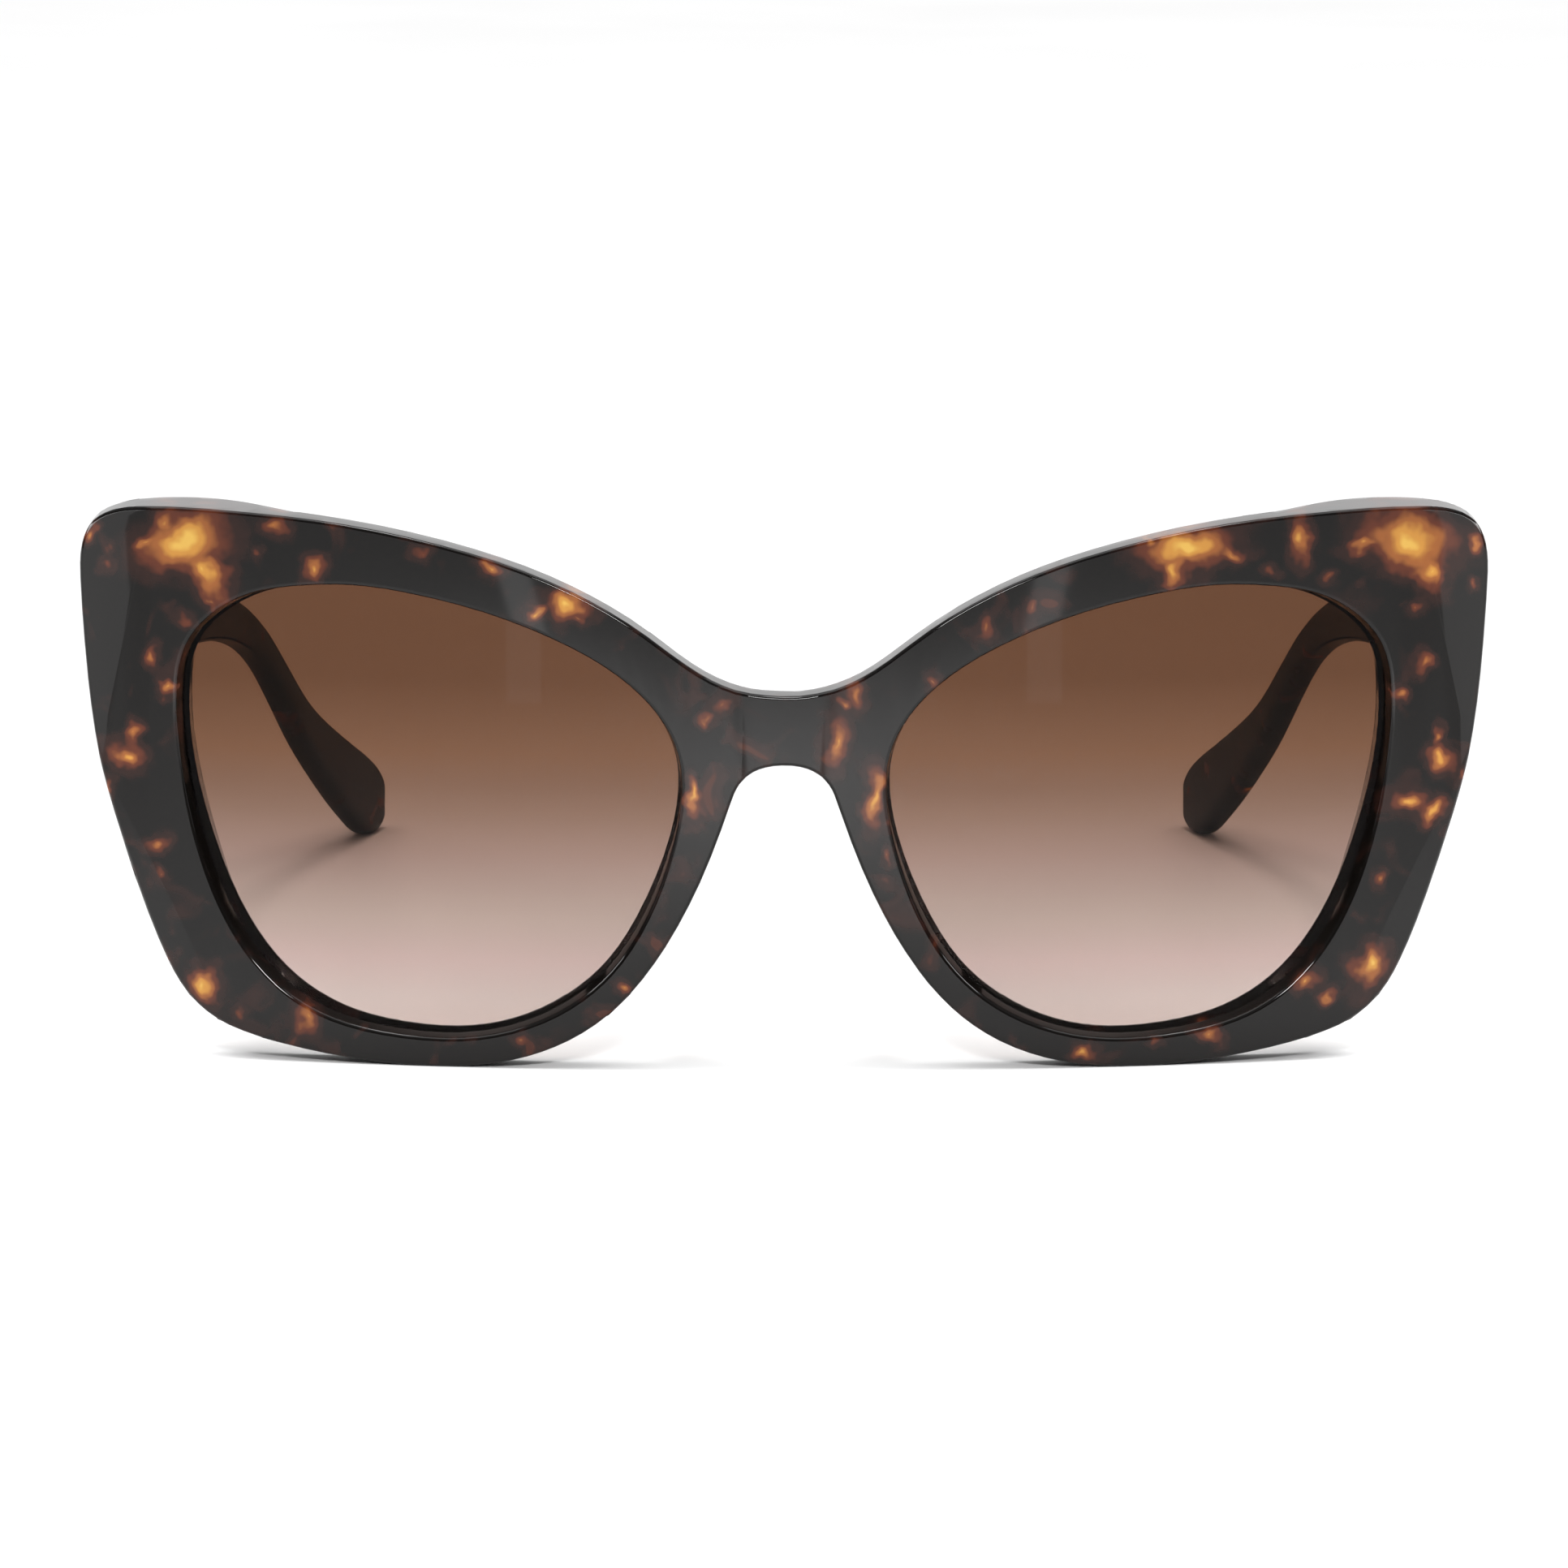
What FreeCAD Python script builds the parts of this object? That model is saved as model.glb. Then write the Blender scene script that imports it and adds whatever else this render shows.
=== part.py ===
import FreeCAD, Part
import math
import os

from FreeCAD import Matrix, Vector

# Cat eye sunglasses, in millimetres.
# X runs across the face, Y runs from the front towards the ears, Z is up.
# Everything is drawn with Y = 0 at the foremost point of the front and Z = 0 at the
# surface that the rims and temple tips rest on. SHIFT_Y centres the finished part.

# ---- driving dimensions ----
FRONT_RADIUS = 270.0        # the front face is a cylinder about an upright axis
RIM_THICKNESS = 4.4
LENS_SETBACK = 1.6          # front lip, measured back from the face
LENS_THICKNESS = 2.0
GROOVE_BITE = 1.0           # how far the lens reaches outside the rear lip
RECESS_DEPTH = 0.35         # flat in the middle of the bridge

END_PIECE_BACK = 15.5       # flat that the temple butts against
END_PIECE_INNER_X = 62.5    # the flat starts here
SHOULDER_START_X = 47.0     # the back starts to thicken here
SHOULDER_LOW_Z = 15.0       # thickening starts here and is complete at SHOULDER_FULL_Z
SHOULDER_FULL_Z = 33.0

PIVOT_X = 66.3
PIVOT_Y = 17.7
HINGE_Z = 42.3
KNUCKLE_COUNT = 5
KNUCKLE_HEIGHT = 1.0
KNUCKLE_GAP = 0.05
KNUCKLE_RADIUS = 1.4
SCREW_RADIUS = 0.65
BORE_CLEARANCE = 0.05
LOCK_RADIUS = 0.95

BUTT_GAP = 0.15             # between the end piece and the open temple
TEMPLE_ROOT_Y = END_PIECE_BACK + BUTT_GAP
TEMPLE_TIP_Y = 144.0
TEMPLE_EDGE_ROUND = 1.1
TEMPLE_EDGE_PIECES = 6
CORE_THICKNESS = 0.9
CORE_HEIGHT = 2.0
CORE_END_Y = 133.0
LEAF_END_Y = 30.0           # the core starts where the hinge leaf ends

SHIFT_Y = -0.5 * TEMPLE_TIP_Y
FAR = 200.0                 # beyond every part of the object

# ---- outlines, as (distance from the centre line, height) ----
# Half of the front's outer edge, from the top of the bridge round to its underside.
OUTER_EDGE = [
    (0.0, 39.6), (3.5, 39.9), (7.7, 41.4), (14.0, 45.75), (22.4, 50.7), (30.9, 53.9),
    (39.3, 56.0), (47.8, 57.4), (56.6, 58.15), (65.2, 58.4),
    (69.6, 57.85), (72.3, 56.4), (73.6, 53.8), (73.8, 50.0),
    (73.35, 43.0), (72.6, 36.1), (71.3, 29.3), (69.35, 22.5), (67.1, 15.7), (65.1, 10.7),
    (63.2, 7.3), (60.5, 4.7), (56.5, 2.9),
    (48.3, 1.0), (41.0, 0.12), (36.5, 0.0), (31.0, 0.35), (26.8, 1.25), (22.5, 3.0),
    (18.3, 5.85), (14.05, 10.55), (11.1, 15.2), (7.7, 22.4),
    (5.6, 28.2), (4.6, 30.4), (3.2, 31.6), (0.0, 32.3),
]
# Lens opening where it meets the face.
FACE_OPENING = [
    (10.6, 30.7), (12.2, 36.3), (16.1, 40.8), (23.7, 45.4), (31.4, 48.3), (39.2, 50.1),
    (47.8, 50.8), (53.5, 50.1), (58.8, 47.9), (62.3, 44.4), (63.6, 38.8), (63.2, 32.0),
    (61.4, 22.8), (57.2, 12.9), (52.5, 7.6), (45.9, 4.4), (38.9, 3.2), (31.7, 3.3),
    (23.9, 5.8), (18.2, 10.2), (14.0, 16.8), (11.5, 24.0),
]
# Rear lip of the same opening, point for point.
LIP_OPENING = [
    (11.0, 30.7), (12.5, 36.1), (16.3, 40.5), (23.9, 45.1), (31.5, 48.0), (39.2, 49.8),
    (47.7, 50.4), (53.1, 49.7), (58.1, 47.3), (61.2, 43.9), (62.3, 38.6), (61.9, 32.0),
    (59.8, 23.3), (55.6, 13.8), (51.3, 8.7), (45.4, 5.3), (38.8, 3.9), (31.8, 3.9),
    (24.3, 6.4), (18.8, 10.7), (14.7, 17.1), (12.0, 24.0),
]
TAPER_DEPTH = 3.2           # the opening narrows from the face to the lip over this depth

# Edge of a temple seen from the side, as (Y, Z): along the top, round the tip and back.
TEMPLE_EDGE = [
    (TEMPLE_ROOT_Y, 48.1), (26.0, 47.0), (45.0, 44.0), (65.0, 40.9), (81.0, 37.9),
    (94.0, 34.1), (104.3, 29.2), (111.6, 24.3), (118.0, 19.8), (125.8, 15.7),
    (133.8, 12.0), (139.4, 9.3), (142.9, 6.6), (TEMPLE_TIP_Y, 4.0), (142.6, 1.2),
    (138.6, 0.05), (133.8, 2.0), (128.1, 5.5), (122.0, 9.8), (115.7, 14.5),
    (109.8, 19.7), (103.8, 24.4), (95.9, 28.6), (88.0, 31.1), (74.0, 33.8), (60.0, 35.7),
    (45.0, 36.8), (28.0, 37.2), (TEMPLE_ROOT_Y, 37.0),
]
# Path of a temple seen from above, as (Y, distance from the centre line, thickness).
TEMPLE_PLAN = [
    (TEMPLE_ROOT_Y, 70.6, 4.6), (45.0, 67.4, 4.0), (70.0, 64.8, 3.5), (90.0, 62.5, 3.2),
    (104.0, 60.0, 3.1), (118.0, 56.6, 3.1), (132.0, 52.7, 3.1), (146.0, 48.7, 3.0),
]


def face_y(x):
    """Depth of the front face at a distance x from the centre line."""
    return FRONT_RADIUS - math.sqrt(FRONT_RADIUS ** 2 - x ** 2)


def side_x(side, points):
    """The same points on the left (-1) or right (1) side, in the plane Y = 0."""
    return [Vector(side * x, 0.0, z) for x, z in points]


def spline_edges(points, start, end, pieces):
    """One smooth line through the points, as several edges end to end."""
    curve = Part.BSplineCurve()
    curve.interpolate(Points=points, InitialTangent=start, FinalTangent=end)
    return curve_pieces(curve, pieces)


def spline_edge(points):
    """One smooth edge through the points."""
    curve = Part.BSplineCurve()
    curve.interpolate(Points=points)
    return curve.toShape()


def closed_spline(points, pieces=4):
    """One smooth closed wire through the points, as several edges."""
    curve = Part.BSplineCurve()
    curve.interpolate(Points=points, PeriodicFlag=True)
    return Part.Wire(curve_pieces(curve, pieces))


def curve_pieces(curve, count):
    first = curve.FirstParameter
    step = (curve.LastParameter - first) / count
    edges = []
    for k in range(count):
        piece = curve.copy()
        piece.segment(first + k * step, first + (k + 1) * step)
        edges.append(piece.toShape())
    return edges


def box(x0, x1, y0, y1, z0, z1):
    corner = Vector(min(x0, x1), min(y0, y1), min(z0, z1))
    return Part.makeBox(abs(x1 - x0), abs(y1 - y0), abs(z1 - z0), corner)


def single_solid(shape):
    """The largest solid of a boolean's result."""
    return max(shape.Solids, key=lambda item: item.Volume)


# ---- the front ----

def face_band(near, far):
    """Curved upright slab between two depths behind the face."""
    axis_foot = Vector(0, FRONT_RADIUS, -20.0)
    outside = Part.makeCylinder(FRONT_RADIUS - near, FAR, axis_foot)
    inside = Part.makeCylinder(FRONT_RADIUS - far, FAR, axis_foot)
    return outside.cut(inside).common(box(-80.0, 80.0, -20.0, 40.0, -10.0, 80.0))


def outline_prism():
    """The front's outer edge, extruded from front to back."""
    right = side_x(1, OUTER_EDGE)
    left = side_x(-1, OUTER_EDGE[1:-1])
    face = Part.Face(closed_spline(right + left[::-1], 6))
    return face.extrude(Vector(0, 40.0, 0)).translated(Vector(0, -5.0, 0))


def filled_profile(curve, corners):
    """Face bounded by one curve and by straight lines through the corners."""
    edges = [curve]
    for a, b in zip(corners, corners[1:]):
        edges.append(Part.makeLine(a, b))
    return Part.Face(Part.Wire(Part.__sortEdges__(edges)))


def shoulder(side):
    """Thick outer end of the front, which carries the hinge."""
    start_y = face_y(SHOULDER_START_X) + RIM_THICKNESS - 0.8
    start = Vector(side * SHOULDER_START_X, start_y, 0)
    flat = Vector(side * END_PIECE_INNER_X, END_PIECE_BACK, 0)
    slope = Vector(side, SHOULDER_START_X / FRONT_RADIUS, 0)
    ramp = spline_edges([start, flat], slope, Vector(side, 0, 0), 1)[0]
    plan = filled_profile(ramp, [
        flat, Vector(side * 80.0, END_PIECE_BACK, 0), Vector(side * 80.0, 13.5, 0),
        Vector(side * 60.0, face_y(60.0) + 1.0, 0), start])
    low = Vector(0, 6.5, SHOULDER_LOW_Z)
    full = Vector(0, END_PIECE_BACK + 0.01, SHOULDER_FULL_Z)
    foot = spline_edges([low, full], Vector(0, 1, 0.6), Vector(0, 0, 1), 1)[0]
    profile = filled_profile(foot, [
        full, Vector(0, full.y, 70.0), Vector(0, 0, 70.0), Vector(0, 0, SHOULDER_LOW_Z), low])
    return plan.extrude(Vector(0, 0, FAR)).common(profile.extrude(Vector(side * FAR, 0, 0)))


def opening_at(side, y):
    """Outline of the tapered opening in the plane at depth y."""
    points = []
    for (x, z), (lip_x, lip_z) in zip(FACE_OPENING, LIP_OPENING):
        share = (y - face_y(x)) / TAPER_DEPTH
        points.append(Vector(side * (x + share * (lip_x - x)), y, z + share * (lip_z - z)))
    return closed_spline(points)


def grown(points, distance):
    """The same closed outline, moved outwards by a distance at each point."""
    moved = []
    for k, (x, z) in enumerate(points):
        x0, z0 = points[k - 1]
        x1, z1 = points[(k + 1) % len(points)]
        length = math.hypot(x1 - x0, z1 - z0)
        moved.append((x - distance * (z1 - z0) / length, z + distance * (x1 - x0) / length))
    return moved


def lip_prism(side, grow):
    """The rear lip's outline, grown by a distance and extruded from front to back."""
    face = Part.Face(closed_spline(side_x(side, grown(LIP_OPENING, grow))))
    return face.extrude(Vector(0, 40.0, 0)).translated(Vector(0, -5.0, 0))


def opening_taper(side):
    """Bevelled mouth of the opening, wider at the temple side."""
    return Part.makeLoft([opening_at(side, -2.0), opening_at(side, 12.0)], True, True)


def sun_lens(side):
    band = face_band(LENS_SETBACK, LENS_SETBACK + LENS_THICKNESS)
    return single_solid(lip_prism(side, GROOVE_BITE).common(band))


def facet(side, a, b, edge, drop):
    """Everything in front of a flat cut through two face points and one sunk point."""
    a = Vector(side * a[0], face_y(a[0]), a[1])
    b = Vector(side * b[0], face_y(b[0]), b[1])
    c = Vector(side * edge[0], face_y(edge[0]) + drop, edge[1])
    along = (b - a).normalize()
    across = (c - a) - along * (c - a).dot(along)
    across.normalize()
    normal = along.cross(across)
    if normal.y > 0:
        normal = normal * -1
    corners = []
    for u, v in ((-40, -0.5), (60, -0.5), (60, 25), (-40, 25)):
        corners.append(a + along * u + across * v)
    face = Part.Face(Part.makePolygon(corners + corners[:1]))
    return face.extrude(normal * 15.0)


def bridge_recess():
    """Shallow flat in the face of the bridge, with sloping sides, narrower at the bottom."""
    ramp_width = 0.9
    rise = RECESS_DEPTH + 1.0
    wires = []
    for half_width, z in ((3.4, 29.0), (4.55, 44.0)):
        front_half = half_width + ramp_width * rise / RECESS_DEPTH
        corners = [Vector(-front_half, -1.0, z), Vector(-half_width, RECESS_DEPTH, z),
                   Vector(half_width, RECESS_DEPTH, z), Vector(front_half, -1.0, z)]
        wires.append(Part.makePolygon(corners + corners[:1]))
    return Part.makeLoft(wires, True, True)


def front_frame(cutters):
    outline = outline_prism()
    body = single_solid(face_band(0.0, RIM_THICKNESS).common(outline).cut(bridge_recess()))
    for side in (-1, 1):
        body = body.fuse(single_solid(shoulder(side).common(outline)))
    for side in (-1, 1):
        body = body.cut(opening_taper(side))
        body = body.cut(lip_prism(side, 0.0))
        body = body.cut(facet(side, (66.1, 58.3), (71.2, 34.7), (73.7, 50.0), 2.0))
        body = body.cut(facet(side, (70.4, 28.5), (60.5, 8.5), (65.5, 11.5), 0.75))
    for tool in cutters:
        body = body.cut(tool)
    return single_solid(body)


def left_nose_pad():
    """Saddle on the back of the rim, wider at its root and leaning outwards."""
    half_sizes = (1.7, 6.2, 7.6)
    lean = 5.0
    tilt = 20.0
    ball = Part.makeSphere(1.0)
    stretch = Matrix()
    stretch.scale(*half_sizes)
    body = ball.transformGeometry(stretch)
    body.rotate(Vector(0, 0, 0), Vector(0, 0, 1), lean)
    body.rotate(Vector(0, 0, 0), Vector(0, 1, 0), tilt)
    body.translate(Vector(-9.7, RIM_THICKNESS - 0.4, 23.2))
    return single_solid(body.cut(face_band(-12.0, RIM_THICKNESS)))


# ---- the hinge ----

def knuckle(index, bore):
    """Barrel number index, counted from the bottom, at the left pivot."""
    pitch = KNUCKLE_HEIGHT + KNUCKLE_GAP
    bottom = HINGE_Z + (index - KNUCKLE_COUNT / 2.0) * pitch + KNUCKLE_GAP / 2
    base = Vector(-PIVOT_X, PIVOT_Y, bottom)
    barrel = Part.makeCylinder(KNUCKLE_RADIUS, KNUCKLE_HEIGHT, base)
    hole = Part.makeCylinder(bore, KNUCKLE_HEIGHT, base)
    return bottom, barrel, hole


def left_front_leaf():
    plate_back = END_PIECE_BACK
    plate = box(-63.2, -69.6, plate_back - 1.2, plate_back, HINGE_Z - 3.2, HINGE_Z + 3.2)
    anchor = box(-64.6, -68.6, plate_back - 4.0, plate_back - 1.2, HINGE_Z - 2.0, HINGE_Z + 2.0)
    sunk = plate.fuse(anchor)
    leaf = sunk
    holes = []
    for index in range(0, KNUCKLE_COUNT, 2):
        bore = LOCK_RADIUS if index == 0 else SCREW_RADIUS
        bottom, barrel, hole = knuckle(index, bore)
        web = box(-PIVOT_X + 1.1, -PIVOT_X - 1.1, plate_back, PIVOT_Y, bottom,
                  bottom + KNUCKLE_HEIGHT)
        leaf = leaf.fuse(barrel).fuse(web)
        holes.append(hole)
    for hole in holes:
        leaf = leaf.cut(hole)
    return single_solid(leaf), sunk


def left_temple_leaf():
    leaf = box(-68.1, -69.3, 17.0, LEAF_END_Y, HINGE_Z - 2.6, HINGE_Z + 2.6)
    sunk = leaf
    holes = []
    for index in range(1, KNUCKLE_COUNT, 2):
        bottom, barrel, hole = knuckle(index, SCREW_RADIUS + BORE_CLEARANCE)
        web = box(-PIVOT_X, -68.5, PIVOT_Y - 0.7, PIVOT_Y + 1.4, bottom,
                  bottom + KNUCKLE_HEIGHT)
        leaf = leaf.fuse(barrel).fuse(web)
        sunk = sunk.fuse(web)
        holes.append(hole)
    for hole in holes:
        leaf = leaf.cut(hole)
    return single_solid(leaf), sunk


def left_screw():
    head_radius = 1.15
    head_height = 0.5
    half_stack = (KNUCKLE_COUNT * (KNUCKLE_HEIGHT + KNUCKLE_GAP) - KNUCKLE_GAP) / 2
    base = Vector(-PIVOT_X, PIVOT_Y, HINGE_Z - half_stack)
    shank = Part.makeCylinder(SCREW_RADIUS, 2 * half_stack, base)
    top = Vector(-PIVOT_X, PIVOT_Y, HINGE_Z + half_stack)
    head = Part.makeCylinder(head_radius, head_height, top)
    slot = box(-PIVOT_X - 2, -PIVOT_X + 2, PIVOT_Y - 0.15, PIVOT_Y + 0.15,
               top.z + head_height - 0.25, top.z + head_height + 1)
    return single_solid(shank.fuse(head).cut(slot))


def left_screw_lock():
    bottom, barrel, hole = knuckle(0, SCREW_RADIUS)
    ring = Part.makeCylinder(LOCK_RADIUS, KNUCKLE_HEIGHT, Vector(-PIVOT_X, PIVOT_Y, bottom))
    return single_solid(ring.cut(hole))


# ---- the temples ----

def temple_side_face():
    """Side view of a temple, in the plane X = 0."""
    points = [Vector(0, y, z) for y, z in TEMPLE_EDGE]
    edges = spline_edges(points, Vector(0, 1, -0.1), Vector(0, -1, -0.02), TEMPLE_EDGE_PIECES)
    butt = Part.makeLine(points[-1], points[0])
    return Part.Face(Part.Wire(edges + [butt]))


def plan_band(widths):
    """Left temple seen from above, as a band of the given widths, in the plane Z = 0."""
    rows = [(y, x, width) for (y, x, _), width in zip(TEMPLE_PLAN, widths)]
    outer = spline_edge([Vector(-x - width / 2, y, 0) for y, x, width in rows])
    inner = spline_edge([Vector(-x + width / 2, y, 0) for y, x, width in rows])
    caps = []
    for k in (0, -1):
        y, x, width = rows[k]
        caps.append(Part.makeLine(Vector(-x - width / 2, y, 0), Vector(-x + width / 2, y, 0)))
    return Part.Face(Part.Wire(Part.__sortEdges__([outer, inner] + caps)))


def left_core():
    """Metal strip that runs through the middle of the arm from the hinge leaf."""
    middle = [(LEAF_END_Y, 42.0), (45.0, 40.4), (60.0, 38.6), (74.0, 36.4),
              (88.0, 33.6), (100.0, 29.2), (109.8, 22.6), (118.0, 16.3), (127.0, 10.9),
              (CORE_END_Y, 7.6)]
    upper = spline_edge([Vector(0, y, z + CORE_HEIGHT / 2) for y, z in middle])
    lower = spline_edge([Vector(0, y, z - CORE_HEIGHT / 2) for y, z in middle])
    caps = []
    for y, z in (middle[0], middle[-1]):
        caps.append(Part.makeLine(Vector(0, y, z - CORE_HEIGHT / 2),
                                  Vector(0, y, z + CORE_HEIGHT / 2)))
    side_view = Part.Face(Part.Wire(Part.__sortEdges__([upper, lower] + caps)))
    plan = plan_band([CORE_THICKNESS] * len(TEMPLE_PLAN))
    strip = side_view.extrude(Vector(-FAR, 0, 0))
    return single_solid(strip.common(plan.extrude(Vector(0, 0, FAR))))


def left_temple(cutters):
    plan = plan_band([width for _, _, width in TEMPLE_PLAN])
    arm = temple_side_face().extrude(Vector(-FAR, 0, 0))
    arm = single_solid(arm.common(plan.extrude(Vector(0, 0, FAR)).translated(Vector(0, 0, -5))))
    edges = []
    for edge in arm.Edges:
        if edge.BoundBox.YLength > 0.5:
            edges.append(edge)
    arm = arm.makeFillet(TEMPLE_EDGE_ROUND, edges)
    for tool in cutters:
        arm = arm.cut(tool)
    return single_solid(arm)


def mirrored(shape):
    return shape.mirror(Vector(0, 0, 0), Vector(1, 0, 0))


def main():
    os.makedirs("parts", exist_ok=True)
    front_leaf, front_sunk = left_front_leaf()
    temple_leaf, temple_sunk = left_temple_leaf()
    core = left_core()
    temple = left_temple([temple_sunk, core])
    lenses = {side: sun_lens(side) for side in (-1, 1)}
    nodes = {
        "front_frame": front_frame([lenses[-1], lenses[1], front_sunk, mirrored(front_sunk)]),
        "lens_left": lenses[-1],
        "lens_right": lenses[1],
    }
    handed = {
        "nose_pad": left_nose_pad(),
        "front_hinge_leaf": front_leaf,
        "temple_hinge_leaf": temple_leaf,
        "hinge_screw": left_screw(),
        "screw_lock": left_screw_lock(),
        "temple": temple,
        "temple_core": core,
    }
    for name, shape in handed.items():
        nodes[name + "_left"] = shape
        nodes[name + "_right"] = mirrored(shape)
    for name, shape in nodes.items():
        shape.translated(Vector(0, SHIFT_Y, 0)).exportStep("parts/" + name + ".step")


main()
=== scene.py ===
import math

import bmesh
import bpy
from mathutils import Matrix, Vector
from mathutils.bvhtree import BVHTree


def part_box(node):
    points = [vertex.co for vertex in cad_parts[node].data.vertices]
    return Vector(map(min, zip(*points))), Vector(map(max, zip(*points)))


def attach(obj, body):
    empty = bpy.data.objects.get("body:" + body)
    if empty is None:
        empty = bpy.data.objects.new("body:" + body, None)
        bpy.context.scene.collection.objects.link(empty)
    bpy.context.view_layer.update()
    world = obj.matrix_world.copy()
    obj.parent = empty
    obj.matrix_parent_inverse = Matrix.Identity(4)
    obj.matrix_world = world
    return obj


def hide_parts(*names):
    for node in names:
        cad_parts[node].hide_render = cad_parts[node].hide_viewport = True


# Cat eye sunglasses: polished tortoiseshell front and arms, brown gradient lenses.
# Metres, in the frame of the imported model: X across the face, -Y is the front, Z is up.

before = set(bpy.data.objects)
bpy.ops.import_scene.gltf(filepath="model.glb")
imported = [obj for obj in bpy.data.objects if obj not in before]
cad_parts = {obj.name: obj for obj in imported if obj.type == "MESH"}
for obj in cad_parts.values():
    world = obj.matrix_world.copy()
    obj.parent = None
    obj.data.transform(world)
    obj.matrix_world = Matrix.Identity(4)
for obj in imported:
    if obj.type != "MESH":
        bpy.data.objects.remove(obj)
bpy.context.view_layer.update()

MM = 0.001
SIDES = ("left", "right")

# ---- camera ----
CAMERA_DISTANCE = 0.900
CAMERA_ELEVATION = math.radians(10.0)
CAMERA_FOCAL_MM = 197.9
CAMERA_SENSOR_MM = 36.0
AIM_BEHIND_FACE = 0.005
AIM_HEIGHT = 0.0296

# ---- floor and light ----
FLOOR_HALF_WIDTH = 6.0
SUN_ANGLE = math.radians(12.0)
SUN_STRENGTH = 0.70
# The room's light by direction, upwards for the ceiling and backwards for the backdrop:
# (direction part where it starts to grow, where it is full, weakest, strongest).
CEILING_GLOW = (0.2, 0.9, 0.04, 0.50)
BACKDROP_GLOW = (0.5, 0.9, 0.0, 0.95)
# Panel lights, as (name, place, target, size, watts). The softbox is placed from the middle
# of the table, and the others from the foremost point of the front.
SOFTBOX = ("ceiling_softbox", (0.0, 0.0, 3.0), (0.0, 0.0, 0.0), (3.6, 2.4), 66.0)
FRONT_GLOW = ("front_glow", (0.0, -0.170, 0.120), (0.0, -0.170, 0.0), (0.05, 0.05), 0.45)
# These three stand on the right, and have twins on the left.
SIDE_PANELS = [
    ("side_card", (0.300, -0.086, 0.035), (0.070, 0.010, 0.045), (0.12, 0.10), 0.037),
    ("corner_glow", (0.105, 0.005, 0.060), (0.105, 0.005, 0.0), (0.04, 0.04), 0.04),
    ("narrow_card", (0.0735, -0.193, 0.030), (0.0335, 0.0, 0.030), (0.010, 0.05), 0.003),
]

# ---- polishing ----
FRONT_EDGE_ROUND = 0.38 * MM
BUTT_EDGE_ROUND = 0.20 * MM
METAL_EDGE_ROUND = 0.08 * MM
ROUND_SEGMENTS = 3
SHARP_EDGE = math.radians(30.0)     # an edge from here up is buffed round
RIDGE_EDGE = math.radians(7.0)      # a ridge on the face from here up stays crisp
SMOOTH_LIMIT = math.radians(35.0)   # an edge past this shades as a corner
LEVEL = math.radians(0.3)           # triangles this near to one plane become one face
ON_FACE = -0.7                      # a normal's Y below this is on the face
TOUCHING = 0.06 * MM                # an edge this near to a fitted piece is left crisp
WELD = 0.001 * MM                   # corners this close are one
TINY_EDGE = 0.0005 * MM             # an edge this short is taken out

# ---- lenses ----
FACE_RADIUS = 270.0 * MM      # the front and both lenses are rolled about one upright axis
LENS_FACING = 0.98            # a face this square to the radius is a lens's front or back
LENS_IOR = 1.15               # below bare plastic's 1.5, as a coating takes most glare off

# ---- arms ----
ARM_CORNER = 1.1 * MM
ARM_CORNER_STEPS = 6
CORNER_SHARE = 0.98           # a corner takes at most this share of a section's half size
ARM_FIRST = 0.3 * MM          # the first measured section, this far from the butt
ARM_STATION = 1.5 * MM
OUTSIDE_ARM = 100.0 * MM      # outside of an arm, where a ray towards its side starts
ABOVE_ARM = 30.0 * MM         # clear above or below an arm, short of its own bend
EVENING_PASSES = 4
LINE_STEPS = 24               # short steps between two points of the middle line
# Rounding at the butt, ring by ring, in shares of its size: (taken off, set back).
BUTT_RINGS = [(1.0, 0.0), (0.3, 0.3), (0.0, 1.0)]
# Sections close together at the tip: (mm from its end).
ARM_TIP = [8.0, 6.8, 5.7, 4.7, 3.8, 3.0, 2.3, 1.7, 1.2, 0.8, 0.5, 0.3, 0.15, 0.05]
# Middle line of an arm seen from the side: (mm behind its butt end, mm above the table).
ARM_MIDDLE = [
    (0.0, 42.5), (12.0, 42.0), (29.4, 40.4), (47.0, 38.2), (62.0, 35.6), (74.5, 32.2),
    (84.5, 28.0), (93.0, 22.4), (101.0, 16.8), (109.0, 12.0), (117.0, 7.9), (123.0, 5.4),
    (128.3, 4.0),
]

# ---- acetate, in millimetres ----
ACETATE_IOR = 1.49
ACETATE_ROUGHNESS = 0.06      # after tumbling and buffing
RAGGED_SIZE = 2.8             # of the noise that frays the spots' outlines
RAGGED_REACH = 1.6            # how far it pushes them
CLOUD_SIZE = 5.0
CLOUD_BAND = (0.50, 0.72)     # a cloud shows from the first noise level, fully at the second
HEART_SIZE = 8.0
HEART_BAND = (0.60, 0.74)
HEART_BLEND = 0.2
SPOT_SPREAD = 1.75            # a spot's colour runs out past its stated size
SPOT_BLEND = 0.25
SPOT_FADE = 0.85              # how far from amber the faintest spot starts
NO_AMBER = 1.6                # this far from amber the sheet is at its darkest

# ---- other finishes ----
# The grain of tumbled and turned metal is finer than drawn, and would not show.
GRAIN_SPREAD = 0.3            # the metal's roughness varies by this share either way
GRAIN_BUMP = 0.15
GRAIN_DEPTH = 0.02 * MM
NYLON_CLOUD_MM = 0.5
PAPER_CLOUD_MM = 100.0

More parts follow.
